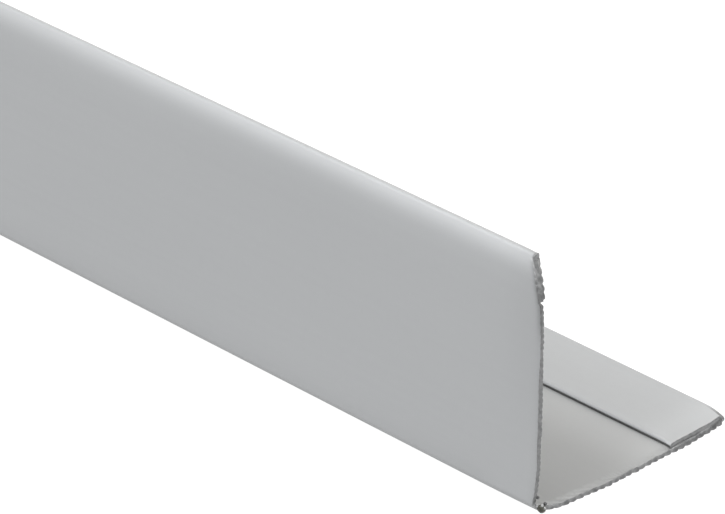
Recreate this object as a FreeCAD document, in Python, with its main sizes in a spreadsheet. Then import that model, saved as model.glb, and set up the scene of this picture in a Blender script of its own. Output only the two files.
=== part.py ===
"""Corner guard moulding: one strip of coated sheet steel, roll formed into an equal angle.

The strip is bent once along its middle. Each leg ends in a hem: the edge is folded back on the
inside of the leg, and the hemmed margin is turned in, more on the upright leg, so that the guard
bears on the wall along both edges. It lies as it is handled, one leg flat on the floor and the
other upright.
Millimetres; X along the stock, Y across the lying leg, Z up.
"""

import FreeCAD
import Part
import Sketcher

import math
import os

from FreeCAD import Vector

SIZES = {
    "stock_length": 1220.0,  # sold as a 4 ft length
    "upright_height": 30.0,  # outer corner to the top of the upright leg
    "lying_width": 30.0,  # outer corner to the tip of the lying leg
    "sheet_thickness": 0.5,
    "bend_radius": 0.5,  # inside radius of the corner bend
    "upright_hem": 4.7,  # tip of the upright leg to the free edge of its hem
    "lying_hem": 8.9,  # tip of the lying leg to the free edge of its hem
    "hem_gap": 0.2,  # left open between the two layers of a hem
    "upright_turn_in": 1.2,  # how far the middle of the upright fold leans in from the flat of its leg
    "lying_turn_in": 0.6,  # the same for the lying leg's fold
}

# Sums of sheet sizes that more than one dimension uses
FOLD_RADIUS = "(Sizes.sheet_thickness + Sizes.hem_gap / 2)"
OUTER_BEND_RADIUS = "(Sizes.bend_radius + Sizes.sheet_thickness)"

RIGHT_ANGLE, HALF_TURN = 90, 180  # degrees

# Numbers that stand for the start, end and centre of a drawn element, and for the origin and two axes
START, END, CENTRE = 1, 2, 3
ORIGIN = (-1, START)
HORIZONTAL_AXIS, VERTICAL_AXIS = -1, -2


def make_sheet(doc):
    """The driving dimensions, one named cell each."""
    sheet = doc.addObject("Spreadsheet::Sheet", "Sizes")
    for row, (alias, value) in enumerate(SIZES.items(), start=1):
        sheet.set(f"A{row}", alias)
        sheet.set(f"B{row}", str(value))
        sheet.setAlias(f"B{row}", alias)
    doc.recompute()
    return sheet


def add_arc(sketch, centre, radius, first_degrees, last_degrees):
    circle = Part.Circle(centre, Vector(0, 0, 1), radius)
    arc = Part.ArcOfCircle(circle, math.radians(first_degrees), math.radians(last_degrees))
    return sketch.addGeometry(arc)


def constrain(sketch, kind, *elements):
    return sketch.addConstraint(Sketcher.Constraint(kind, *elements))


def dimension(sketch, name, expression, kind, *elements):
    """A dimension with a name of its own, driven by the sheet."""
    index = constrain(sketch, kind, *elements, sketch.evalExpression(expression))
    sketch.renameConstraint(index, name)
    sketch.setExpression(f"Constraints.{name}", expression)


class Leg:
    """One leg of the section, drawn by distances along it from the outer corner and in from its outer face.

    The lying leg runs along the sketch's first axis. The upright leg is the same drawing with the
    two axes exchanged, which also exchanges the ends of every arc.
    """

    def __init__(self, sketch, upright):
        self.sketch = sketch
        self.upright = upright
        self.name = "upright" if upright else "lying"
        self.axis = VERTICAL_AXIS if upright else HORIZONTAL_AXIS
        self.distance_along = "DistanceY" if upright else "DistanceX"
        self.distance_in = "DistanceX" if upright else "DistanceY"
        self.parallel = "Vertical" if upright else "Horizontal"
        self.square = "Horizontal" if upright else "Vertical"
        self.begin = END if upright else START
        self.finish = START if upright else END

    def point(self, along, depth):
        return Vector(depth, along, 0) if self.upright else Vector(along, depth, 0)

    def line(self, start, end):
        return self.sketch.addGeometry(Part.LineSegment(self.point(*start), self.point(*end)))

    def arc(self, centre, radius, begin, finish):
        """Begin and finish are in degrees, counted from the along direction towards the in direction."""
        if self.upright:
            begin, finish = RIGHT_ANGLE - finish, RIGHT_ANGLE - begin
        return add_arc(self.sketch, self.point(*centre), radius, begin, finish)

    def draw(self, sizes, width, hem, turn_in):
        """Places every line and arc where the sizes put it. The hem's long arcs share one centre."""
        thickness, gap = sizes.sheet_thickness, sizes.hem_gap
        fold_radius = thickness + gap / 2
        reach = hem - fold_radius
        middle_radius = (reach**2 + turn_in**2) / (2 * turn_in)
        free_edge = width - hem
        flat_start = sizes.bend_radius + thickness
        centre = (free_edge, fold_radius + middle_radius)
        fold_centre = (width - fold_radius, fold_radius + turn_in)
        outwards = -RIGHT_ANGLE
        tip = outwards + math.degrees(math.asin(reach / middle_radius))

        self.outer_face = self.line((flat_start, 0), (free_edge, 0))
        self.outer_curve = self.arc(centre, middle_radius + fold_radius, outwards, tip)
        self.outer_fold = self.arc(fold_centre, fold_radius, tip, tip + HALF_TURN)
        self.return_face = self.arc(centre, middle_radius - fold_radius, outwards, tip)
        self.free_edge = self.line((free_edge, 2 * fold_radius), (free_edge, thickness + gap))
        self.return_back = self.arc(centre, middle_radius - gap / 2, outwards, tip)
        self.inner_fold = self.arc(fold_centre, gap / 2, tip, tip + HALF_TURN)
        self.inner_curve = self.arc(centre, middle_radius + gap / 2, outwards, tip)
        self.inner_face = self.line((free_edge, thickness), (flat_start, thickness))

    def join(self):
        """Runs the outline round the hem: smooth from piece to piece, square only at the free edge."""
        smooth_joints = (
            (self.outer_face, END, self.outer_curve, self.begin),
            (self.outer_curve, self.finish, self.outer_fold, self.begin),
            (self.outer_fold, self.finish, self.return_face, self.finish),
            (self.return_back, self.finish, self.inner_fold, self.finish),
            (self.inner_fold, self.begin, self.inner_curve, self.finish),
            (self.inner_curve, self.begin, self.inner_face, START),
        )
        square_joints = (
            (self.return_face, self.begin, self.free_edge, START),
            (self.free_edge, END, self.return_back, self.begin),
        )
        shared_centres = (
            (self.outer_curve, self.return_face),
            (self.outer_curve, self.return_back),
            (self.outer_curve, self.inner_curve),
            (self.outer_fold, self.inner_fold),
        )
        for joint in smooth_joints:
            constrain(self.sketch, "Tangent", *joint)
        for joint in square_joints:
            constrain(self.sketch, "Coincident", *joint)
        for first, second in shared_centres:
            constrain(self.sketch, "Coincident", first, CENTRE, second, CENTRE)

    def fix(self, width_alias, hem_alias, turn_in_alias):
        """Sets the leg on its axis and drives its width, hem, gap and turn-in from the sheet."""
        fold_centre = (self.outer_fold, CENTRE)
        curve_centre = (self.outer_curve, CENTRE)
        sketch, name = self.sketch, self.name
        constrain(sketch, "PointOnObject", self.outer_face, START, self.axis)
        constrain(sketch, self.parallel, self.outer_face)
        constrain(sketch, self.parallel, self.inner_face)
        constrain(sketch, self.square, self.free_edge)
        constrain(sketch, self.square, self.free_edge, START, *curve_centre)
        dimension(
            sketch, f"{name}_width", f"Sizes.{width_alias} - {FOLD_RADIUS}",
            self.distance_along, *ORIGIN, *fold_centre,
        )
        dimension(
            sketch, f"{name}_hem", f"Sizes.{hem_alias} - {FOLD_RADIUS}",
            self.distance_along, *curve_centre, *fold_centre,
        )
        dimension(
            sketch, f"{name}_turn_in", f"Sizes.{turn_in_alias} + {FOLD_RADIUS}",
            self.distance_in, *ORIGIN, *fold_centre,
        )
        dimension(sketch, f"{name}_gap", "Sizes.hem_gap / 2", "Radius", self.inner_fold)


def join_legs(sketch, sizes, lying, upright):
    """The corner bend: an outer and an inner quarter circle about one centre."""
    outer_radius = sizes.bend_radius + sizes.sheet_thickness
    centre = Vector(outer_radius, outer_radius, 0)
    from_upright, to_lying = HALF_TURN, HALF_TURN + RIGHT_ANGLE
    outer_bend = add_arc(sketch, centre, outer_radius, from_upright, to_lying)
    inner_bend = add_arc(sketch, centre, sizes.bend_radius, from_upright, to_lying)
    constrain(sketch, "Tangent", upright.outer_face, START, outer_bend, START)
    constrain(sketch, "Tangent", outer_bend, END, lying.outer_face, START)
    constrain(sketch, "Tangent", upright.inner_face, END, inner_bend, START)
    constrain(sketch, "Tangent", inner_bend, END, lying.inner_face, END)
    constrain(sketch, "Coincident", outer_bend, CENTRE, inner_bend, CENTRE)
    dimension(sketch, "outer_bend", OUTER_BEND_RADIUS, "Radius", outer_bend)
    dimension(sketch, "inner_bend", "Sizes.bend_radius", "Radius", inner_bend)


def make_section(body, sizes):
    """The angle's section, in the plane across the stock, with the outer corner at its origin."""
    sketch = body.newObject("Sketcher::SketchObject", "Section")
    plane = next(feature for feature in body.Origin.OriginFeatures if feature.Role == "YZ_Plane")
    sketch.AttachmentSupport = [(plane, "")]
    sketch.MapMode = "FlatFace"
    lying = Leg(sketch, upright=False)
    upright = Leg(sketch, upright=True)
    lying.draw(sizes, sizes.lying_width, sizes.lying_hem, sizes.lying_turn_in)
    upright.draw(sizes, sizes.upright_height, sizes.upright_hem, sizes.upright_turn_in)
    lying.join()
    upright.join()
    join_legs(sketch, sizes, lying, upright)
    lying.fix("lying_width", "lying_hem", "lying_turn_in")
    upright.fix("upright_height", "upright_hem", "upright_turn_in")
    return sketch


def make_corner_guard(doc, sizes):
    """The section drawn out to the stock length, centred over the middle of the lying leg."""
    body = doc.addObject("PartDesign::Body", "CornerGuard")
    body.Label = "corner_guard"
    section = make_section(body, sizes)
    stock = body.newObject("PartDesign::Pad", "Stock")
    stock.Profile = section
    stock.setExpression("Length", "Sizes.stock_length")
    body.setExpression("Placement.Base.x", "-Sizes.stock_length / 2")
    body.setExpression("Placement.Base.y", "-Sizes.lying_width / 2")
    doc.recompute()
    return body, section


def check(doc, body, section):
    """Stops before anything is written if a feature failed or the section is not settled by its sizes."""
    for item in doc.Objects:
        if {"Invalid", "Error"} & set(item.State):
            raise RuntimeError(f"{item.Label} failed: {item.State}")
    if section.solve() != 0 or not section.FullyConstrained:
        raise RuntimeError("the section is not fully constrained")
    if body.Shape.isNull() or not body.Shape.isValid() or len(body.Shape.Solids) != 1:
        raise RuntimeError(f"{body.Label} is not one valid solid")


def main():
    doc = FreeCAD.newDocument("corner_guard_moulding")
    sizes = make_sheet(doc)
    body, section = make_corner_guard(doc, sizes)
    check(doc, body, section)
    os.makedirs("parts", exist_ok=True)
    body.Shape.exportStep(os.path.join("parts", f"{body.Label}.step"))
    box = body.Shape.BoundBox
    print(f"{body.Label}: {box.XLength:.2f} x {box.YLength:.2f} x {box.ZLength:.2f} mm, "
          f"{body.Shape.Volume:.1f} mm3")


main()
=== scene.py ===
"""Corner guard moulding: the coated finish and the sawn end of one strip of hemmed sheet steel.

Metres, in the part's frame: X along the stock with the sawn end at +X, Y across the lying leg, Z up.
"""
import math

import bpy
import numpy as np
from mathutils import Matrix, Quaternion, Vector


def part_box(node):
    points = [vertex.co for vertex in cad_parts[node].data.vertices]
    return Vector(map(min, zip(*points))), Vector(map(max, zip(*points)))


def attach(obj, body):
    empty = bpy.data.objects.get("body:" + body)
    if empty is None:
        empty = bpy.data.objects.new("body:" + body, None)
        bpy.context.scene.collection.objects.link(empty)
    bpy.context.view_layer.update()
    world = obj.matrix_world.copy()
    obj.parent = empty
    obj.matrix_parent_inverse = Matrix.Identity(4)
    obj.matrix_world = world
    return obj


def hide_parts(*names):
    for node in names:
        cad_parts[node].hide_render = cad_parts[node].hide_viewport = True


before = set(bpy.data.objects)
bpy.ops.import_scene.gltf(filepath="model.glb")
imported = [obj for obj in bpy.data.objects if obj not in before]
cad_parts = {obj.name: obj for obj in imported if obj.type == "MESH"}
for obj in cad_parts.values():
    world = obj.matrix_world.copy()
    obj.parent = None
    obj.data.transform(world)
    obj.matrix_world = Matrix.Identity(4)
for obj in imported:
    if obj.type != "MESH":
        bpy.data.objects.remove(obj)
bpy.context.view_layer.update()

MM = 0.001

# The section, with the sizes that the part has
LOW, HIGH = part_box("corner_guard")
HEIGHT = HIGH.z - LOW.z
WIDTH = HIGH.y - LOW.y
SHEET = 0.5 * MM
BEND_RADIUS = 0.5 * MM
UPRIGHT_HEM = 4.7 * MM
LYING_HEM = 8.9 * MM
HEM_GAP = 0.2 * MM
UPRIGHT_TURN_IN = 1.2 * MM
LYING_TURN_IN = 0.6 * MM
OUTER_BEND = BEND_RADIUS + SHEET
FOLD = SHEET + HEM_GAP / 2

# Pieces of each stretch of the section along the plain stock, and the finer step at the sawn end
FLAT_PIECES, CURVE_PIECES, FOLD_PIECES, LIP_PIECES, BEND_PIECES = 10, 8, 18, 6, 14
FINE_STEP = 0.08 * MM

SHARP_ANGLE = math.radians(50)  # faces that meet at more than this aren't shaded as one

# Across the sheet a place goes from 1, the coated face, to -1, the back
ROWS_ACROSS = 9
ON_FACE = 0.9  # from here on a point moves with the face

# How far each ring of points near the sawn end lies in from the cut, and the step along the plain stock
FINE_INSETS = np.array([0.04, 0.1, 0.18, 0.28, 0.42, 0.62, 0.9, 1.3, 1.9, 2.8, 4.2, 6.5]) * MM
PLAIN_START = 10 * MM
PLAIN_STEP = 20 * MM

# The free edge of each hem rolls over under its coating and comes down close to its leg
LIP = 0.9 * MM
LYING_LIP_PAST, UPRIGHT_LIP_PAST = 0.18 * MM, -0.35 * MM  # how far the lips reach past the hems' plain edges
LIP_CLOSED = HEM_GAP - 0.08 * MM
LYING_LIP_FALL, UPRIGHT_LIP_FALL, LIP_FALL_REACH = 0.22 * MM, 0.15 * MM, 0.5 * MM
LIP_REACH = 2.0 * MM

# The sheet is not quite flat between its bends: a wave along the stock and a slower one that turns across it
WAVE_DEPTH, WAVE_MEAN, WAVE_SWING = 0.05 * MM, 0.5, 0.25
WAVE_LENGTH, WAVE_START = 70 * MM, 1.3
SLOW_WAVE, SLOW_WAVE_RATE, SLOW_WAVE_TURN = 0.7, 0.37, 2

# The saw's path: the cut bows, and runs back towards the tips of both legs and at the foot of the upright
SAW_REFERENCE = 0.7 * MM  # the middle of the cut lies this far in from the stock's full length
UPRIGHT_BACK = 0.31 * MM
BULGE_HEIGHT, BULGE_REACH, BULGE_OUT = 20.5 * MM, 3 * MM, 0.08 * MM
TOP_FROM, TOP_LENGTH, TOP_BACK, TOP_BOW = 22 * MM, 7.4 * MM, 2.4 * MM, 2.95
TOP_BLEND = 2 * MM
FOOT_TO, FOOT_BACK = 6 * MM, 0.85 * MM
LYING_OUT = 0.48 * MM
HEEL_TO, HEEL_BACK = 9 * MM, 0.33 * MM
LYING_FROM, LYING_TO, LYING_BACK = 10 * MM, 23.5 * MM, 0.58 * MM
TIP_FROM, TIP_BACK = 20 * MM, 0.2 * MM
TIP_BURR = 0.22 * MM  # stands out round the lying leg's tip
CORNER_FROM, CORNER_TO = -1.5 * MM, 3.5 * MM
RETURN_BACK = 0.1 * MM  # the folded layer of each hem is cut a little shorter than its leg
FREE_FROM, FREE_TO, FREE_BACK = 27 * MM, 25 * MM, 0.14 * MM  # and shorter still by the lying hem's free edge
PATH_FADE = 8 * MM
WANDER, WANDER_LENGTH = 0.05 * MM, 1.3 * MM

# Which edge of the cut stands out further: the lying leg's lower edge, more at its hem, the upright leg's
# inner edge at its hem, and below that one edge or the other
LYING_SLANT, HEM_SLANT = 0.07 * MM, 0.12 * MM
TOP_SLANT = -0.08 * MM
SLANT_HEIGHTS = np.array([7, 10, 16, 19]) * MM
SLANTS = np.array([0.02, -0.04, -0.04, 0.05]) * MM

# Burrs: beads as far apart as the teeth of a fine saw
LYING_FIRST_BEAD, LYING_PITCH = 1.94 * MM, 1.087 * MM
HEM_FIRST_BEAD, HEM_PITCH = 0.25 * MM, 0.96 * MM
UPRIGHT_PITCH = 0.7 * MM
LOWEST_BEAD, BEAD_BOW = 0.7, 0.7  # beside the highest bead, and how full a bead is
BEAD_MIDDLE = 0.5  # of a bead's step
BEAD_LEVEL = 0.5  # the part of a bead that lies behind the saw's path
BEAD_SIDE_FROM, BEAD_SIDE_TO = -0.5, 0.6  # across the sheet, towards the side where the saw came out
LYING_BEAD, LYING_LUMP = 0.25 * MM, 0.09 * MM  # out along the stock, and up inside
HEM_BEAD = 0.16 * MM
HEM_BEAD_SUNK = HEM_BEAD / 3
UPRIGHT_BEAD = 0.06 * MM
BEAD_FADE = 0.3 * MM

# The cut's own edges and grain, and the nick under the upright hem's free edge
EDGE_ROUND, TOP_EDGE_ROUND, EDGE_BOW = 0.04 * MM, 0.12 * MM, 6
GRAIN, GRAIN_LENGTH, GRAIN_DRIFT = 0.03 * MM, 0.17 * MM, 0.4 * MM
ROLL, ROLL_LENGTH = 0.05 * MM, 0.35 * MM  # the saw rolled the upright leg's outer edge over
NICK_BELOW, NICK_WIDTH, NICK_DEPTH = 0.3 * MM, 0.16 * MM, 0.5 * MM
NICK_HEIGHT = HEIGHT - UPRIGHT_HEM - UPRIGHT_LIP_PAST - NICK_BELOW

# The scuffed rim inside the lying leg, beside the cut
RIM_DROOP, RIM_WIDTH = 0.16 * MM, 1.2 * MM
RIM_UNEVEN, RIM_UNEVEN_LENGTH = 0.25, 2.4 * MM
RIM_GRAIN, RIM_GRAIN_LENGTH, RIM_GRAIN_DRIFT = 0.06 * MM, 0.23 * MM, 3.1

# Where the coat is worn off
LYING_BARE, TOP_BARE, TIP_BARE = 0.9, 0.8, 0.9
BARE_WIDTH, TOP_BARE_WIDTH = 0.13 * MM, 0.3 * MM
BARE_TO = -0.5  # across the lying leg, whose back keeps its coat

# The hems were squeezed shut at the cut, the lying leg's tip pressed in while it was sawn, the upright's
# worn, and the corner bend lifted a little off the floor
CLOSED = HEM_GAP - 0.005 * MM
PINCH_LENGTH = 1.2 * MM
LYING_PRESS, LYING_PRESS_BOW = 0.5 * MM, 6
LYING_PRESS_LENGTH, LYING_PRESS_FADE = 3.2 * MM, 1.4
UPRIGHT_WORN_LENGTH = 0.4 * MM
BEND_LIFT, BEND_LIFT_LENGTH, BEND_LIFT_REACH = 0.16 * MM, 6 * MM, 3 * MM

# Painted light and shade: how bright the sawn face is beside plain steel, lighter or darker by part as the
# light falls on it
TOP_CUT_TONE, UPRIGHT_CUT_TONE, LYING_CUT_TONE, RETURN_CUT_TONE = 1.25, 0.86, 0.88, 1.05
TOP_TONE_FROM, TOP_TONE_TO = 26 * MM, 28.5 * MM
FOLD_CUT_TONE = 1.15
FOOT_CUT_TONE, FOOT_TONE_FROM, FOOT_TONE_TO = 1.4, 1.3 * MM, 0.7 * MM
UPPER_CUT_HIGHLIGHT_TONE = 1.4  # painted highlight at the upper edge of the lying cut
SEAM_HIGHLIGHT_TONE, SEAM_FROM, SEAM_TO = 3.4, 29 * MM, 26.5 * MM  # painted highlight where the two sawn layers of the lying hem meet
SEAM_MEAN, SEAM_SWING = 0.6, 0.4
BEVEL_SHADE_TONE, BEVEL_FROM, BEVEL_TO = 0.72, 0.3, 0.9  # painted shade on the outer edge of the upright cut's top
NOTCH_LIGHT_TONE = 1.15  # painted light between the beads of the lying cut
CUT_TONE_WIDTH = 0.03 * MM

# How bright the coat is beside its plain colour, mostly painted light and shade: painted light on the lying
# leg and painted shade on the upright near the cut, painted shade beside the upright cut, where the corner
# bend turns under and along the lying hem's lip, darker on the tips near the cut, a painted highlight on top
# of the upright leg's tip, and on the scuffed rim painted light by the heel and painted shade by the hem, in
# patches
# Painted light on the lying leg and painted shade on the upright leg, near the cut
UPRIGHT_END_SHADE_TONE, LYING_END_LIGHT_TONE, END_LIGHT_REACH = 0.94, 1.13, 9 * MM
# Painted shade on the coat beside the upright cut
TOP_EDGE_SHADE_TONE, UPRIGHT_EDGE_SHADE_TONE, EDGE_SHADE_REACH = 0.66, 0.92, 0.6 * MM
# Painted shade where the corner bend turns under towards the floor
BEND_SHADE_TONE, BEND_SHADE_HEIGHT, BEND_SHADE_REACH = 0.72, 1.0 * MM, 3 * MM
# Painted shade along the lying hem's lip
LIP_SHADE_TONE, LIP_SHADE_REACH, LIP_SHADE_BOW = 0.5, 0.58 * MM, 1.6
# Darker on the tips near the cut
TIP_TONE = 0.5
# Painted highlight on top of the upright leg's tip
FOLD_HIGHLIGHT_TONE = 1.08
# The scuffed rim: real scuffing, with painted light by the heel and painted shade by the hem
HEEL_RIM_LIGHT_TONE, HEM_RIM_SHADE_TONE, RIM_TONE_FADE = 1.65, 0.75, 0.5
RIM_MEAN, RIM_SWING = 0.6, 0.6
PATCH_LENGTH, PATCH_DRIFT = 0.45 * MM, 1.7

# Burr left at the foot of the cut, one large drop, dark lumps and bright ones whose brightness is a painted
# highlight:
# places from the reference plane and the outer corner
DROP_PLACE, DROP_RADIUS = np.array([-0.26, 0.9, 0.43]) * MM, 0.5 * MM
DARK_LUMP_PLACES = np.array([[-0.8, 0.76, 1.64], [-0.31, 1.45, 0.82]]) * MM
DARK_LUMP_RADIUS, DARK_LUMP_TONE = 0.2 * MM, 0.7
BRIGHT_LUMP_PLACES = np.array([[0.1, 0.95, 0.62], [-0.15, 0.85, 0.86], [-0.66, 0.56, 0.73]]) * MM
# Painted highlights: the bright lumps are toned lighter than plain steel
BRIGHT_LUMP_RADIUS, BRIGHT_LUMP_HIGHLIGHT_TONE = 0.18 * MM, 1.6
DROP_RINGS, DROP_SIDES = 12, 24
DROP_SWELLS = ((0.08, 3, 2), (0.06, 1, 5))  # height beside the radius, waves around and waves down

# Colours of each material, from its darker patches to its lighter ones
COATING = (0.32, 0.327, 0.334), (0.331, 0.338, 0.345)
BACKING = (0.305, 0.309, 0.310), (0.316, 0.320, 0.321)
STEEL = (0.195, 0.198, 0.2), (0.31, 0.313, 0.315)
# The burr's darkness is partly painted shade for the drop's shaded underside
BURR = (0.045, 0.045, 0.036), (0.1, 0.1, 0.085)
PATCH_DARK, PATCH_LIGHT = 0.3, 0.7  # the noise that gives the two colours
STEEL_METALLIC, BURR_METALLIC = 0.6, 0.5

# The coat's clouds, streaks along the stock and orange peel, and how worn it is where steel starts to show
CLOUD_SIZE, STREAK_SIZE, PEEL_SIZE = 45 * MM, 0.9 * MM, 0.8 * MM
STREAK_STRETCH, STREAK_SHARE = 120, 0.35
PEEL_ROUGHNESS = 0.04
WORN_FROM, WORN_TO = 0.15, 0.5

# The camera, as fitted to the four long edges in the photograph
IMAGE_WIDTH = 725  # pixels
CAMERA_FOCUS = 5052.2  # pixels
SENSOR_WIDTH = 36.0
CAMERA_AZIMUTH = math.radians(46.674)
CAMERA_ELEVATION = math.radians(26.512)
CAMERA_ROLL = math.radians(0.5)
CAMERA_DISTANCE = 554.21 * MM
TARGET_FROM_CUT = 27.896 * MM
TARGET_HEIGHT = 20.920 * MM
NEAREST_SEEN, FURTHEST_SEEN = 0.01, 200.0

FLOOR_HALF, FLOOR_HEIGHT = 40.0, -0.02 * MM
WHITE = (1.0, 1.0, 1.0)
WARM = (1.0, 0.98, 0.94)


def smooth_step(first, last, value):
    """0 up to the first value and 1 from the last one on, with soft ends."""
    share = np.clip((value - first) / (last - first), 0, 1)
    return share * share * (3 - 2 * share)


def ramp_down(value, reach):
    """1 at zero, falling evenly to 0 at the reach."""
    return np.clip(1 - value / reach, 0, 1)


def bell(value, reach):
    """1 at zero, falling away softly on both sides."""
    return np.exp(-((value / reach) ** 2))


def hump(share):
    """0 at both ends of a share, 1 in its middle."""
    return 4 * share * (1 - share)


def late_hump(share):
    """0 at both ends of a share, 1 at two thirds of it."""
    return 27 / 4 * share**2 * (1 - share)


def blend(first, second, share):
    return first + (second - first) * share


def change(tone, share):
    """What a tone adds to a plain brightness of 1."""
    return (tone - 1) * share


def wobble(place, pitch, seed):
    """A smooth random wave between -1 and 1."""
    knots = np.random.default_rng(seed).uniform(-1, 1, int(place.max() / pitch) + 3)
    number = (place / pitch).astype(int)
    share = smooth_step(0, 1, place / pitch - number)
    return blend(knots[number], knots[number + 1], share)


def beads(phase, seed):
    """Round beads with sharp notches between them, one for each whole step of the phase, from 0 to 1."""
    number = np.floor(phase).astype(int)
    number -= number.min()
    heights = np.random.default_rng(seed).uniform(LOWEST_BEAD, 1.0, number.max() + 1)
    return heights[number] * np.abs(np.sin(np.pi * phase)) ** BEAD_BOW


def running_length(points):
    """The length along a line of points, at each of them."""
    steps = np.linalg.norm(np.diff(points, axis=0), axis=1)
    return np.concatenate([[0.0], np.cumsum(steps)])


def arc(centre, radius, first, last, facing=1):
    """A round stretch of the sheet's middle line: its length, and points and facings at shares of it."""
    def at(share):
        angle = blend(first, last, share)
        out = np.stack([np.cos(angle), np.sin(angle)], axis=-1)
        return centre + radius * out, facing * out
    return abs(last - first) * radius, at


def straight(start, end, facing):
    """A straight stretch of the sheet's middle line, in the same form."""
    def at(share):
        return start + share[:, None] * (end - start), np.tile(facing, (len(share), 1))
    return float(np.linalg.norm(end - start)), at


def leg_stretches(width, hem, turn_in, lip_past):
    """One leg from its corner bend to the free edge of its hem, as (along the leg, in from its outer face).

    The facing points out of the coated face, which goes round the fold and ends up inside.
    """
    reach = hem - FOLD
    middle = (reach**2 + turn_in**2) / (2 * turn_in)
    free = width - hem
    centre = np.array([free, FOLD + middle])
    fold_centre = np.array([width - FOLD, FOLD + turn_in])
    out = -math.pi / 2
    tip = out + math.asin(reach / middle)
    layer = (SHEET + HEM_GAP) / 2
    lip_start = out + LIP / (middle - layer)
    lip_end = out - lip_past / (middle - layer)
    flat_start = np.array([OUTER_BEND, SHEET / 2])
    flat_end = np.array([free, SHEET / 2])
    return [
        ("flat", FLAT_PIECES, straight(flat_start, flat_end, np.array([0.0, -1.0]))),
        ("curve", CURVE_PIECES, arc(centre, middle + layer, out, tip)),
        ("fold", FOLD_PIECES, arc(fold_centre, layer, tip, tip + math.pi)),
        ("return", CURVE_PIECES, arc(centre, middle - layer, tip, lip_start, facing=-1)),
        ("lip", LIP_PIECES, arc(centre, middle - layer, lip_start, lip_end, facing=-1)),
    ]


class Section:
    """Columns along the middle of the sheet, from the upright hem's free edge to the lying hem's."""

    def __init__(self):
        self.points = []
        self.facing = []
        self.plain = []
        self.stretch = []
        upright = leg_stretches(HEIGHT, UPRIGHT_HEM, UPRIGHT_TURN_IN, UPRIGHT_LIP_PAST)
        lying = leg_stretches(WIDTH, LYING_HEM, LYING_TURN_IN, LYING_LIP_PAST)
        for name, pieces, stretch in reversed(upright):
            self.add("upright_" + name, pieces, stretch, upright=True)
        middle_radius = BEND_RADIUS + SHEET / 2
        bend_centre = np.array([OUTER_BEND, OUTER_BEND])
        self.add("bend", BEND_PIECES, arc(bend_centre, middle_radius, math.pi, 1.5 * math.pi))
        for name, pieces, stretch in lying:
            self.add("lying_" + name, pieces, stretch)
        self.points = np.concatenate(self.points)
        self.facing = np.concatenate(self.facing)
        self.plain = np.concatenate(self.plain)
        self.stretch = np.array(self.stretch)
        self.length = running_length(self.points)
        self.from_edge = np.minimum(self.length, self.length[-1] - self.length)

    def add(self, name, pieces, stretch, upright=False):
        """Divides a stretch into pieces for the plain stock, and each piece into fine steps."""
        length, at = stretch
        fine = max(1, math.ceil(length / pieces / FINE_STEP))
        first = 1 if self.points else 0
        number = np.arange(first, pieces * fine + 1)
        share = number / (pieces * fine)
        points, facing = at(1 - share if upright else share)
        self.points.append(points[:, ::-1] if upright else points)
        self.facing.append(facing[:, ::-1] if upright else facing)
        self.plain.append(number % fine == 0)
        self.stretch += [name] * len(number)

    def among(self, *names):
        return np.isin(self.stretch, names)


def saw_path(points):
    """How far the cut lies from its reference plane at each place of the section, along X."""
    y, z = points.T
    top = np.clip((z - TOP_FROM) / TOP_LENGTH, 0, 1)
    foot = ramp_down(z, FOOT_TO)
    bulge = bell(z - BULGE_HEIGHT, BULGE_REACH)
    upright = BULGE_OUT * bulge - UPRIGHT_BACK - TOP_BACK * top**TOP_BOW - FOOT_BACK * foot**2
    tip = np.clip((y - TIP_FROM) / (WIDTH - TIP_FROM), 0, 1)
    heel = ramp_down(y, HEEL_TO)
    middle = smooth_step(LYING_FROM, LYING_TO, y)
    lying = LYING_OUT - HEEL_BACK * heel - LYING_BACK * middle - TIP_BACK * tip**2
    return blend(upright, lying, smooth_step(CORNER_FROM, CORNER_TO, y - z))


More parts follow.
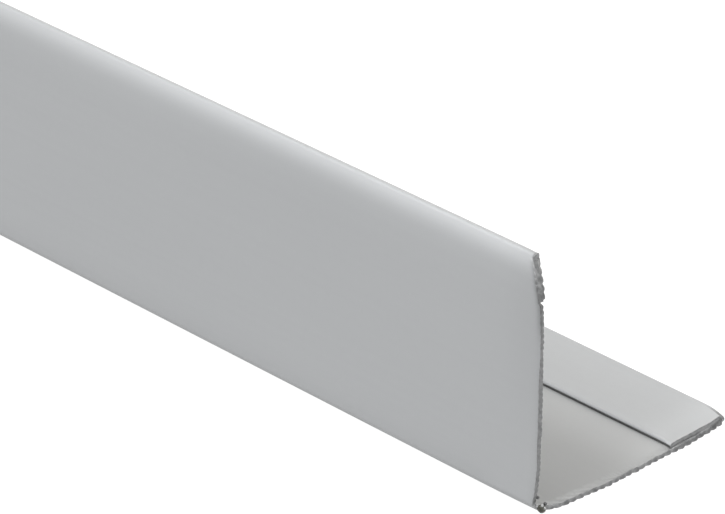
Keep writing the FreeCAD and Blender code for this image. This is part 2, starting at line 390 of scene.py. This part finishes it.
class SawnStrip:
    """The strip's points, wear and tones, the tones holding painted light and shade as well as random
    patches.

    Each is asked for by a column of the section, a place across the sheet and an inset from the cut.
    """

    def __init__(self, section):
        self.section = section
        self.find_columns()
        self.pinch = self.pinch_share()
        self.flat = self.flat_share()
        self.run, self.path = self.make_path()
        self.bead, self.bead_reach = self.make_beads()
        self.rim = self.make_rim()
        self.slant = self.make_slant()
        self.painted_cut_tone = self.make_painted_cut_tone()
        self.painted_end_light = self.make_painted_end_light()
        y, z = section.points.T
        self.nick = NICK_DEPTH * bell(z - NICK_HEIGHT, NICK_WIDTH) * self.upright_leg
        self.top = smooth_step(TOP_FROM - TOP_BLEND, TOP_FROM + TOP_BLEND, z) * self.upright
        self.edge_round = blend(EDGE_ROUND, TOP_EDGE_ROUND, self.top)
        self.bend = 1 - smooth_step(0, BEND_LIFT_REACH, y + z - SHEET / 2)
        self.lip_fall = np.where(self.upright, UPRIGHT_LIP_FALL, LYING_LIP_FALL)
        self.lip = (1 - smooth_step(0, LIP_REACH, section.from_edge)) * self.returned

    def find_columns(self):
        """Which columns lie in each part of the section."""
        among = self.section.among
        self.upright_fold = among("upright_fold")
        self.lying_fold = among("lying_fold")
        self.fold = self.upright_fold | self.lying_fold
        self.upright_return = among("upright_return", "upright_lip")
        self.lying_return = among("lying_return", "lying_lip")
        self.returned = self.upright_return | self.lying_return
        self.hem = self.upright_return | self.upright_fold
        self.upright_leg = among("upright_flat", "upright_curve")
        self.upright = self.hem | self.upright_leg
        self.lying_flat = among("lying_flat")
        self.lying_curve = among("lying_curve")

    def pinch_share(self):
        """How far each column is moved when a hem is squeezed: 0 in its outer layer, 1 in its return."""
        share = self.returned.astype(float)
        for fold, first in ((self.upright_fold, 1.0), (self.lying_fold, 0.0)):
            share[fold] = np.linspace(first, 1 - first, fold.sum())
        return share

    def flat_share(self):
        """1 in the middle of each flat, 0 at its bends."""
        share = np.zeros(len(self.section.points))
        for name in ("upright_flat", "lying_flat"):
            within = self.section.among(name)
            share[within] = np.sin(np.linspace(0, np.pi, within.sum())) ** 2
        return share

    def make_path(self):
        """The length along the cut, and how far the cut lies from its reference plane."""
        section = self.section
        path = saw_path(section.points)
        run = running_length(np.column_stack([section.points, path]))
        wander = WANDER * wobble(section.length, WANDER_LENGTH, seed=7)
        by_free_edge = self.lying_return * smooth_step(FREE_FROM, FREE_TO, section.points[:, 0])
        back = RETURN_BACK * self.pinch + FREE_BACK * by_free_edge
        burr = TIP_BURR * hump(self.pinch) * self.lying_fold
        return run, path + wander - back + burr

    def make_beads(self):
        """The bead at each column, and how far it reaches: most where the saw came out."""
        y = self.section.points[:, 0]
        bead = beads((y - LYING_FIRST_BEAD) / LYING_PITCH + BEAD_MIDDLE, seed=4)
        reach = np.full(len(bead), LYING_BEAD)
        reach[self.lying_return] = 0
        along_hem = self.run[self.hem] - HEM_FIRST_BEAD
        bead[self.hem] = beads(along_hem / HEM_PITCH + BEAD_MIDDLE, seed=5)
        reach[self.hem] = HEM_BEAD
        bead[self.upright_leg] = beads(self.run[self.upright_leg] / UPRIGHT_PITCH, seed=6)
        reach[self.upright_leg] = UPRIGHT_BEAD
        return bead, reach

    def make_rim(self):
        """How far the rim inside the lying leg droops at the cut."""
        uneven = RIM_UNEVEN * (wobble(self.section.length, RIM_UNEVEN_LENGTH, seed=3) - 1)
        return RIM_DROOP * (1 + uneven) * self.lying_flat

    def make_slant(self):
        """How far the coated edge of the cut stands out past its middle."""
        z = self.section.points[:, 1]
        upright = np.where(z > NICK_HEIGHT, TOP_SLANT, np.interp(z, SLANT_HEIGHTS, SLANTS))
        lying = LYING_SLANT * self.lying_flat + HEM_SLANT * self.lying_curve
        return upright * self.upright_leg + lying

    def make_painted_cut_tone(self):
        """Painted light and shade on the sawn face: how bright it is at each column."""
        y, z = self.section.points.T
        tone = np.full(len(y), LYING_CUT_TONE)
        tone[self.lying_return] = RETURN_CUT_TONE
        upright = blend(UPRIGHT_CUT_TONE, TOP_CUT_TONE, smooth_step(TOP_TONE_FROM, TOP_TONE_TO, z))
        tone[self.upright] = upright[self.upright]
        tone[self.fold] = FOLD_CUT_TONE
        foot = smooth_step(FOOT_TONE_FROM, FOOT_TONE_TO, np.maximum(y, z))
        return blend(tone, FOOT_CUT_TONE, foot)

    def make_painted_end_light(self):
        """Painted light and shade on the coat beside the cut: lighter towards the lying hem, darker up the
        upright leg.
        """
        y, z = self.section.points.T
        upright = blend(1, UPRIGHT_END_SHADE_TONE, smooth_step(FOOT_TO / 2, TOP_FROM, z))
        lying = blend(1, LYING_END_LIGHT_TONE, smooth_step(LYING_FROM, LYING_TO, y))
        return np.where(self.upright, upright, lying)

    def relief(self, column, across):
        """The cut face's own relief along X: beads, slant, grain and rounded edges."""
        side = np.where(self.upright_leg[column], np.abs(across), across)
        bead = (self.bead[column] - BEAD_LEVEL) * smooth_step(BEAD_SIDE_FROM, BEAD_SIDE_TO, side)
        place = self.section.length[column] + GRAIN_DRIFT * (across + 1)
        grain = GRAIN * wobble(place, GRAIN_LENGTH, seed=11)
        rounded = self.edge_round[column] * np.clip(across, 0, 1) ** EDGE_BOW
        nicked = self.nick[column] * (1 - across) / 2
        return self.bead_reach[column] * bead + self.slant[column] * across + grain - rounded - nicked

    def burr(self, column, across):
        """How far the beads stand out of the sheet's faces at the cut."""
        on_coat = across > ON_FACE
        on_back = across < -ON_FACE
        bead = self.bead_reach[column] * self.bead[column]
        hem = (bead - HEM_BEAD_SUNK) * self.hem[column] * on_coat
        leg = bead * self.upright_leg[column] * (on_coat | on_back) * across
        lump = LYING_LUMP * self.bead[column] * self.lying_flat[column] * on_back
        return hem + leg - lump

    def rim_grain(self, column, inset):
        place = self.section.length[column] + RIM_GRAIN_DRIFT * inset
        return RIM_GRAIN * wobble(place, RIM_GRAIN_LENGTH, seed=13) * self.lying_flat[column]

    def offset(self, column, across, inset):
        """How far a point stands from the middle of the sheet, towards the coated face."""
        filled = HEM_GAP / 2 * self.fold[column] * bell(inset, PINCH_LENGTH)
        stand = across * SHEET / 2 + np.clip(across, -1, 0) * filled
        stand += self.burr(column, across) * np.exp(-inset / BEAD_FADE)
        near_cut = ramp_down(inset, RIM_WIDTH)
        droop = self.rim[column] * near_cut**2 + self.rim_grain(column, inset) * near_cut
        near_edge = ramp_down(self.section.from_edge[column], LIP_FALL_REACH)
        rolled = ROLL * ramp_down(inset, ROLL_LENGTH) ** 2 * self.upright_leg[column]
        fall = self.lip_fall[column] * near_edge**2 + rolled
        return stand + droop * (1 - across) / 2 - fall * (1 + across) / 2

    def wave(self, column, x):
        """How far the sheet lies in from its flat."""
        flat = self.flat[column]
        turn = 2 * np.pi * x / WAVE_LENGTH
        swing = np.sin(turn + WAVE_START)
        swing += SLOW_WAVE * np.sin(SLOW_WAVE_RATE * turn + SLOW_WAVE_TURN * flat)
        return WAVE_DEPTH * flat * (WAVE_MEAN + WAVE_SWING * swing)

    def press(self, column, points, inset):
        """Squeezes the hems shut, presses the lying leg's tip in and lifts the corner bend, near the cut."""
        y, z = points.T
        upright = self.upright[column]
        at_cut = CLOSED * self.pinch[column] * bell(inset, PINCH_LENGTH)
        pinch = np.maximum(LIP_CLOSED * self.lip[column], at_cut)
        near_cut = ramp_down(inset, LYING_PRESS_LENGTH) ** LYING_PRESS_FADE
        near_tip = np.clip((y - WIDTH + LYING_HEM) / LYING_HEM, 0, 1) ** LYING_PRESS_BOW
        lift = BEND_LIFT * np.exp(-inset / BEND_LIFT_LENGTH) * self.bend[column]
        pressed = LYING_PRESS * near_cut * near_tip * ~upright
        return y - pinch * upright - pressed, z - pinch * ~upright + lift

    def place(self, column, across, inset):
        """Points in the part's frame."""
        section = self.section
        fade = 1 - smooth_step(0, PATH_FADE, inset)
        x = HIGH.x - inset + (self.path[column] - SAW_REFERENCE) * fade
        x += self.relief(column, across) * np.exp(-inset / BEAD_FADE)
        stand = self.offset(column, across, inset) - self.wave(column, x)
        points = section.points[column] + stand[:, None] * section.facing[column]
        y, z = self.press(column, points, inset)
        return np.clip(np.stack([x, LOW.y + y, LOW.z + z], axis=-1), LOW, HIGH)

    def bare(self, column, across, inset):
        """How far the coat is worn off: at the cut, and along the tip of each leg beside it."""
        top = smooth_step(TOP_FROM, HEIGHT - UPRIGHT_TURN_IN, self.section.points[column, 1])
        most = np.where(self.upright[column], TOP_BARE * top, LYING_BARE)
        most = most * ((across > BARE_TO) | ~self.lying_flat[column])
        at_cut = most * bell(inset, blend(BARE_WIDTH, TOP_BARE_WIDTH, top))
        lying_tip = ramp_down(inset, LYING_PRESS_LENGTH) * self.lying_fold[column]
        upright_tip = ramp_down(inset, UPRIGHT_WORN_LENGTH) * self.upright_fold[column]
        return np.maximum(at_cut, TIP_BARE * np.maximum(lying_tip, upright_tip))

    def tone(self, column, across, inset):
        """How bright the colour is beside its plain material: random patches, and painted light and shade."""
        place = self.section.length[column] + PATCH_DRIFT * inset
        patch = wobble(place, PATCH_LENGTH, seed=17)
        coat = self.leg_tone(column, across, inset, patch) * self.tip_tone(column, inset)
        return blend(coat, self.sawn_light_and_shade(column, across, patch), bell(inset, CUT_TONE_WIDTH))

    def leg_tone(self, column, across, inset, patch):
        """Painted light and shade on the coat: near the cut, on the scuffed rim, under the corner bend and
        along the lying lip.
        """
        y, z = self.section.points[column].T
        near_end = 1 - smooth_step(0, END_LIGHT_REACH, inset)
        # painted light and shade on the scuffed rim
        rim_light_tone = blend(HEEL_RIM_LIGHT_TONE, HEM_RIM_SHADE_TONE, y / (WIDTH - LYING_HEM))
        rim = ramp_down(inset, RIM_WIDTH) ** RIM_TONE_FADE * (RIM_MEAN + RIM_SWING * patch)
        rim = rim * self.lying_flat[column] * (across < -ON_FACE)
        # painted shade under the corner bend, near the floor
        under_bend_shade = 1 - smooth_step(0, BEND_SHADE_HEIGHT, z - SHEET / 2)
        bend = under_bend_shade * (1 - smooth_step(0, BEND_SHADE_REACH, y)) * (across > ON_FACE)
        # painted shade along the lying hem's lip
        near_edge = ramp_down(self.section.from_edge[column], LIP_SHADE_REACH)
        lip = near_edge**LIP_SHADE_BOW * self.lying_return[column]
        end = 1 + change(self.painted_end_light[column], near_end)
        return end * (1 + change(rim_light_tone, rim) + change(BEND_SHADE_TONE, bend) + change(LIP_SHADE_TONE, lip))

    def tip_tone(self, column, inset):
        """The coat darker on the tips near the cut, with a painted highlight on top of the upright tip and
        painted shade beside the upright cut.
        """
        z = self.section.points[column, 1]
        upright = self.upright[column]
        tip_length = np.where(upright, UPRIGHT_WORN_LENGTH, LYING_PRESS_LENGTH)
        tip = ramp_down(inset, tip_length) * self.fold[column]
        # painted highlight on top of the upright fold
        fold_top_highlight = late_hump(self.pinch[column]) * upright
        below_tip = 1 - smooth_step(HEIGHT - UPRIGHT_TURN_IN, HEIGHT - FOLD, z)
        # painted shade on the coat beside the upright cut
        edge_shade_tone = blend(UPRIGHT_EDGE_SHADE_TONE, TOP_EDGE_SHADE_TONE, self.top[column])
        edge = bell(inset, EDGE_SHADE_REACH) * self.upright_leg[column] * below_tip
        return 1 + change(TIP_TONE, tip) + change(FOLD_HIGHLIGHT_TONE, fold_top_highlight) + change(edge_shade_tone, edge)

    def sawn_light_and_shade(self, column, across, patch):
        """Painted light and shade on the sawn face: along the lying hem's seam, on the top's outer edge and
        among the lying beads.
        """
        y = self.section.points[column, 0]
        inside = self.lying_flat[column]
        # painted highlight along the seam of the lying hem's cut
        seam = np.clip(-across, 0, 1) ** 2 * (SEAM_MEAN + SEAM_SWING * patch)
        seam = seam * self.lying_curve[column] * smooth_step(SEAM_FROM, SEAM_TO, y)
        # painted shade on the outer edge of the upright cut's top
        bevel = smooth_step(BEVEL_FROM, BEVEL_TO, across) * self.top[column] * self.upright_leg[column]
        # painted light between the lying cut's beads and along its upper edge
        notch = (1 - self.bead[column]) * inside
        upper = (1 - across) / 2 * inside
        tone = self.painted_cut_tone[column] * (1 + change(SEAM_HIGHLIGHT_TONE, seam) + change(BEVEL_SHADE_TONE, bevel))
        return tone * (1 + change(NOTCH_LIGHT_TONE, notch) + change(UPPER_CUT_HIGHLIGHT_TONE, upper))


class StripMesh:
    """Rings of points round the sheet, joined from the sawn end to the plain end, with a face on each end."""

    COATED, BACK, STEEL, BURR = 0, 1, 2, 3

    def __init__(self, strip):
        self.strip = strip
        self.across = np.sin(np.linspace(math.pi / 2, -math.pi / 2, ROWS_ACROSS))
        self.points = []
        self.bare = []
        self.tone = []
        self.count = 0
        self.faces = []
        self.materials = []

    def add_points(self, column, across, inset):
        place = (column, across, np.full(len(column), inset))
        return self.keep(self.strip.place(*place), self.strip.bare(*place), self.strip.tone(*place))

    def keep(self, points, bare, tone):
        self.points.append(points)
        self.bare.append(bare)
        self.tone.append(tone)
        first = self.count
        self.count += len(points)
        return np.arange(first, self.count)

    def add_face(self, corners, material):
        self.faces.append([int(corner) for corner in corners])
        self.materials.append(material)

    def ring(self, columns):
        """(column, row) all round the sheet: coated face, one free edge, back, the other free edge."""
        inner_rows = range(1, ROWS_ACROSS - 1)
        coated = [(column, 0) for column in columns]
        far_edge = [(columns[-1], row) for row in inner_rows]
        back = [(column, ROWS_ACROSS - 1) for column in reversed(columns)]
        near_edge = [(columns[0], row) for row in reversed(inner_rows)]
        return coated + far_edge + back + near_edge

    def ring_material(self, start, end):
        if start[1] == end[1] == 0:
            return self.COATED
        if start[1] == end[1] == ROWS_ACROSS - 1:
            return self.BACK
        return self.STEEL

    def add_ring(self, ring, inset):
        column, row = np.array(ring).T
        return dict(zip(ring, self.add_points(column, self.across[row], inset)))

    def add_end(self, columns, inset, sawn):
        """The end face: one row of points after another across the sheet."""
        numbers = {}
        for row in range(ROWS_ACROSS):
            made = self.add_points(np.array(columns), np.full(len(columns), self.across[row]), inset)
            numbers.update({(column, row): number for column, number in zip(columns, made)})
        for first, second in zip(columns, columns[1:]):
            for row in range(ROWS_ACROSS - 1):
                keys = (first, row), (second, row), (second, row + 1), (first, row + 1)
                corners = [numbers[key] for key in keys]
                self.add_face(corners if sawn else corners[::-1], self.STEEL)
        return numbers

    def join(self, ring, near, far):
        """Quads between two rings of the same columns."""
        for start, end in zip(ring, ring[1:] + ring[:1]):
            corners = [near[end], near[start], far[start], far[end]]
            self.add_face(corners, self.ring_material(start, end))

    def join_fine_to_plain(self, fine_ring, plain_ring, near, far):
        """Fans of triangles where many columns run into few."""
        place = {key: number for number, key in enumerate(fine_ring)}
        closed = plain_ring + plain_ring[:1]
        for start, end in zip(closed, closed[1:]):
            first = place[start]
            last = place[end] if place[end] > first else len(fine_ring)
            keys = [fine_ring[number % len(fine_ring)] for number in range(first, last + 1)]
            material = self.ring_material(start, end)
            half = len(keys) // 2
            for one, other in zip(keys[:half], keys[1:half + 1]):
                self.add_face([near[other], near[one], far[start]], material)
            self.add_face([near[keys[half]], far[start], far[end]], material)
            for one, other in zip(keys[half:], keys[half + 1:]):
                self.add_face([near[other], near[one], far[end]], material)

    def add_drop(self, centre, radius, material, tone):
        """A lumpy drop of burr: its top, rings of points, and its bottom."""
        corners = np.arange(DROP_SIDES) * 2 * np.pi / DROP_SIDES
        turn = np.concatenate([[0], np.tile(corners, DROP_RINGS), [0]])
        down = np.repeat(np.linspace(0, np.pi, DROP_RINGS + 2), [1] + [DROP_SIDES] * DROP_RINGS + [1])
        out = np.stack([np.sin(down) * np.cos(turn), np.sin(down) * np.sin(turn), np.cos(down)], axis=-1)
        swell = sum(height * np.sin(around * turn + along * down) for height, around, along in DROP_SWELLS)
        reach = radius * (1 + swell * np.sin(down))
        points = np.clip(centre + reach[:, None] * out, LOW, HIGH)
        top, *middle, bottom = self.keep(points, np.ones(len(points)), np.full(len(points), tone))
        middle = np.array(middle).reshape(DROP_RINGS, DROP_SIDES)
        for one, other in zip(range(DROP_SIDES), [*range(1, DROP_SIDES), 0]):
            self.add_face([top, middle[0, one], middle[0, other]], material)
            for upper, lower in zip(middle, middle[1:]):
                self.add_face([upper[one], lower[one], lower[other], upper[other]], material)
            self.add_face([middle[-1, one], bottom, middle[-1, other]], material)

    def add_strip(self):
        every = list(range(len(self.strip.section.points)))
        plain = [int(column) for column in np.flatnonzero(self.strip.section.plain)]
        fine_ring, plain_ring = self.ring(every), self.ring(plain)
        near = self.add_end(every, 0.0, sawn=True)
        for inset in FINE_INSETS:
            far = self.add_ring(fine_ring, inset)
            self.join(fine_ring, near, far)
            near = far
        length = HIGH.x - LOW.x
        insets = np.linspace(PLAIN_START, length, round((length - PLAIN_START) / PLAIN_STEP) + 1)
        far = self.add_ring(plain_ring, insets[0])
        self.join_fine_to_plain(fine_ring, plain_ring, near, far)
        near = far
        for inset in insets[1:-1]:
            far = self.add_ring(plain_ring, inset)
            self.join(plain_ring, near, far)
            near = far
        far = self.add_end(plain, insets[-1], sawn=False)
        self.join(plain_ring, near, far)

    def add_foot_burr(self):
        corner = np.array([HIGH.x - SAW_REFERENCE, LOW.y, LOW.z])
        self.add_drop(corner + DROP_PLACE, DROP_RADIUS, self.BURR, tone=1.0)
        for place in DARK_LUMP_PLACES:
            self.add_drop(corner + place, DARK_LUMP_RADIUS, self.STEEL, DARK_LUMP_TONE)
        # the bright lumps' raised tone is a painted highlight on the drop
        for place in BRIGHT_LUMP_PLACES:
            self.add_drop(corner + place, BRIGHT_LUMP_RADIUS, self.STEEL, BRIGHT_LUMP_HIGHLIGHT_TONE)

    def make(self, name, materials):
        self.add_strip()
        self.add_foot_burr()
        mesh = bpy.data.meshes.new(name)
        mesh.from_pydata(np.concatenate(self.points).tolist(), [], self.faces)
        for material in materials:
            mesh.materials.append(material)
        mesh.polygons.foreach_set("material_index", self.materials)
        mesh.polygons.foreach_set("use_smooth", [True] * len(mesh.polygons))
        mesh.set_sharp_from_angle(angle=SHARP_ANGLE)
        # bare holds wear; tone holds random patches and painted light and shade
        for attribute, values in (("bare", self.bare), ("tone", self.tone)):
            made = mesh.attributes.new(attribute, "FLOAT", "POINT")
            made.data.foreach_set("value", np.concatenate(values))
        mesh.validate()
        piece = bpy.data.objects.new(name, mesh)
        bpy.context.scene.collection.objects.link(piece)
        return piece


def set_inputs(tree, node, inputs):
    """Sets a node's inputs to values, or links them to other nodes' outputs."""
    for name, value in inputs.items():
        if isinstance(value, bpy.types.NodeSocket):
            tree.links.new(value, node.inputs[name])
        else:
            node.inputs[name].default_value = value


def add_node(tree, kind, inputs, **settings):
    node = tree.nodes.new(kind)
    for name, value in settings.items():
        setattr(node, name, value)
    set_inputs(tree, node, inputs)
    return node


def new_material(name):
    material = bpy.data.materials.new(name)
    material.use_nodes = True
    tree = material.node_tree
    shader = next(node for node in tree.nodes if node.type == "BSDF_PRINCIPLED")
    return material, tree, shader


def noise(tree, size, detail=2.0, stretch=(1, 1, 1)):
    """Noise whose features are about that size, drawn out by the stretch along each axis."""
    place = add_node(tree, "ShaderNodeTexCoord", {}).outputs["Object"]
    scale = Vector([1 / (size * times) for times in stretch])
    mapping = add_node(tree, "ShaderNodeMapping", {"Vector": place, "Scale": scale})
    inputs = {"Vector": mapping.outputs["Vector"], "Scale": 1.0, "Detail": detail}
    return add_node(tree, "ShaderNodeTexNoise", inputs).outputs["Fac"]


def own_value(tree, name):
    """A value that the mesh holds at each point."""
    return add_node(tree, "ShaderNodeAttribute", {}, attribute_name=name).outputs["Fac"]


def patched(tree, factor, colours):
    """A colour that goes from the dark one to the light one with the noise."""
    ramp = add_node(tree, "ShaderNodeValToRGB", {"Fac": factor})
    for element, position, colour in zip(ramp.color_ramp.elements, (PATCH_DARK, PATCH_LIGHT), colours):
        element.position = position
        element.color = (*colour, 1)
    return ramp.outputs["Color"]


def to_range(tree, value, low, high):
    inputs = {"Value": value, "To Min": low, "To Max": high}
    return add_node(tree, "ShaderNodeMapRange", inputs).outputs["Result"]


def bumped(tree, height, strength, depth):
    inputs = {"Height": height, "Strength": strength, "Distance": depth}
    return add_node(tree, "ShaderNodeBump", inputs).outputs["Normal"]


def mixed(tree, factor, first, second):
    """Goes from the first colour to the second as the factor goes from 0 to 1."""
    node = add_node(tree, "ShaderNodeMix", {"Factor": factor}, data_type="RGBA")
    inputs = [socket for socket in node.inputs if socket.enabled and socket.name in ("A", "B")]
    for socket, colour in zip(inputs, (first, second)):
        tree.links.new(colour, socket)
    return next(socket for socket in node.outputs if socket.enabled)


def toned(tree, colour):
    """The colour made brighter or darker by the mesh's own tone, which holds random patches and painted light
    and shade.
    """
    inputs = {"Vector": colour, "Scale": own_value(tree, "tone")}
    return add_node(tree, "ShaderNodeVectorMath", inputs, operation="SCALE").outputs["Vector"]


def steel_colour(tree):
    """Bare sheet steel where it was sawn, dull and dark: its patches and their colour."""
    patch = noise(tree, size=0.5 * MM, detail=3)
    return patch, patched(tree, patch, STEEL)


def worn_share(tree, patch):
    """1 where the coat is worn off, with a ragged edge."""
    inputs = {0: own_value(tree, "bare"), 1: patch}
    ragged = add_node(tree, "ShaderNodeMath", inputs, operation="MULTIPLY").outputs["Value"]
    inputs = {"Value": ragged, "From Min": WORN_FROM, "From Max": WORN_TO}
    return add_node(tree, "ShaderNodeMapRange", inputs, interpolation_type="SMOOTHSTEP").outputs["Result"]


def coat_material(name, colours, roughness, metallic):
    """Satin coil coating, with faint clouds, streaks and orange peel, worn off where it was sawn."""
    material, tree, shader = new_material(name)
    cloud = noise(tree, CLOUD_SIZE)
    streak = noise(tree, STREAK_SIZE, stretch=(STREAK_STRETCH, 1, 1))
    peel = noise(tree, PEEL_SIZE, detail=3)
    inputs = {"Factor": STREAK_SHARE, "A": cloud, "B": streak}
    cloud_and_streak = add_node(tree, "ShaderNodeMix", inputs).outputs["Result"]
    patch, steel = steel_colour(tree)
    worn = worn_share(tree, patch)
    colour = mixed(tree, worn, patched(tree, cloud_and_streak, colours), steel)
    set_inputs(tree, shader, {
        "Base Color": toned(tree, colour),
        "Metallic": to_range(tree, worn, metallic, STEEL_METALLIC),
        "Roughness": to_range(tree, peel, roughness - PEEL_ROUGHNESS, roughness + PEEL_ROUGHNESS),
        "Normal": bumped(tree, peel, strength=0.25, depth=0.02 * MM),
    })
    return material


def steel_material(name):
    """Bare sheet steel: dull, dark and scored."""
    material, tree, shader = new_material(name)
    patch, steel = steel_colour(tree)
    score = noise(tree, size=0.07 * MM, stretch=(1, 6, 6))
    set_inputs(tree, shader, {
        "Base Color": toned(tree, steel),
        "Metallic": STEEL_METALLIC,
        "Roughness": to_range(tree, patch, low=0.4, high=0.65),
        "Normal": bumped(tree, score, strength=0.5, depth=0.03 * MM),
    })
    return material


def burr_material(name):
    """Burr that ran hot under the saw: dark and half glossy; its darkness is partly its own colour and partly
    painted shade for its shaded underside.
    """
    material, tree, shader = new_material(name)
    patch = noise(tree, size=0.7 * MM)
    set_inputs(tree, shader, {
        "Base Color": patched(tree, patch, BURR),
        "Metallic": BURR_METALLIC,
        "Roughness": to_range(tree, patch, low=0.25, high=0.4),
    })
    return material


def make_strip():
    materials = [
        coat_material("coil_coating", COATING, roughness=0.45, metallic=0.45),
        coat_material("backing_coat", BACKING, roughness=0.42, metallic=0.0),
        steel_material("bare_steel"),
        burr_material("burr"),
    ]
    piece = StripMesh(SawnStrip(Section())).make("corner_guard_strip", materials)
    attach(piece, "root")
    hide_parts("corner_guard")


def make_floor():
    """Paper that glows white, just under the part."""
    mesh = bpy.data.meshes.new("floor")
    sides = (-1, -1), (1, -1), (1, 1), (-1, 1)
    corners = [(x * FLOOR_HALF, y * FLOOR_HALF, FLOOR_HEIGHT) for x, y in sides]
    mesh.from_pydata(corners, [], [(0, 1, 2, 3)])
    material, tree, shader = new_material("floor_paper")
    set_inputs(tree, shader, {
        "Base Color": (0.1, 0.1, 0.1, 1),
        "Roughness": 0.9,
        "Specular IOR Level": 0.0,
        "Emission Color": (*WHITE, 1),
        "Emission Strength": 1.0,
    })
    mesh.materials.append(material)
    floor = bpy.data.objects.new("floor", mesh)
    bpy.context.scene.collection.objects.link(floor)


def from_direction(azimuth, elevation):
    """The direction towards something, with azimuth 0 towards -Y and a quarter turn towards +X."""
    return Vector((
        math.sin(azimuth) * math.cos(elevation),
        -math.cos(azimuth) * math.cos(elevation),
        math.sin(elevation),
    ))


def make_camera():
    camera = bpy.data.objects.new("camera", bpy.data.cameras.new("camera"))
    bpy.context.scene.collection.objects.link(camera)
    towards = from_direction(CAMERA_AZIMUTH, CAMERA_ELEVATION)
    target = Vector((HIGH.x - SAW_REFERENCE - TARGET_FROM_CUT, LOW.y, LOW.z + TARGET_HEIGHT))
    camera.location = target + towards * CAMERA_DISTANCE
    camera.rotation_mode = "QUATERNION"
    roll = Quaternion((0, 0, 1), CAMERA_ROLL)
    camera.rotation_quaternion = (-towards).to_track_quat("-Z", "Y") @ roll
    camera.data.sensor_width = SENSOR_WIDTH
    camera.data.lens = CAMERA_FOCUS / IMAGE_WIDTH * SENSOR_WIDTH
    camera.data.clip_start = NEAREST_SEEN
    camera.data.clip_end = FURTHEST_SEEN
    bpy.context.scene.camera = camera


def make_sky(strength):
    """An even white sky."""
    world = bpy.data.worlds.new("sky")
    world.use_nodes = True
    background = next(node for node in world.node_tree.nodes if node.type == "BACKGROUND")
    set_inputs(world.node_tree, background, {"Color": (*WHITE, 1), "Strength": strength})
    bpy.context.scene.world = world


def make_light(name, azimuth, elevation, spread, strength, colour=WHITE):
    """A soft light far away, that seems as wide as the spread."""
    light = bpy.data.lights.new(name, "SUN")
    light.energy = strength
    light.color = colour
    light.angle = math.radians(spread)
    lamp = bpy.data.objects.new(name, light)
    towards = from_direction(math.radians(azimuth), math.radians(elevation))
    lamp.rotation_mode = "QUATERNION"
    lamp.rotation_quaternion = (-towards).to_track_quat("-Z", "Y")
    bpy.context.scene.collection.objects.link(lamp)


def make_studio():
    make_floor()
    make_sky(strength=0.2)
    make_light("front_light", azimuth=-40, elevation=28, spread=36, strength=1.02)
    make_light("left_light", azimuth=-30, elevation=60, spread=16, strength=1.53)
    make_light("high_front_light", azimuth=0, elevation=52, spread=16, strength=0.58)
    make_light("top_light", azimuth=0, elevation=78, spread=40, strength=0.53)
    make_light("side_light", azimuth=-90, elevation=55, spread=36, strength=0.85)
    make_light("rear_light", azimuth=-140, elevation=55, spread=36, strength=0.55, colour=WARM)
    make_light("low_rear_light", azimuth=-135, elevation=14, spread=40, strength=0.53, colour=WARM)
    make_light("back_light", azimuth=-175, elevation=14, spread=40, strength=0.7, colour=WARM)
    make_light("end_light", azimuth=75, elevation=35, spread=36, strength=0.9)
    bpy.context.scene.view_settings.view_transform = "Standard"


make_strip()
make_studio()
make_camera()
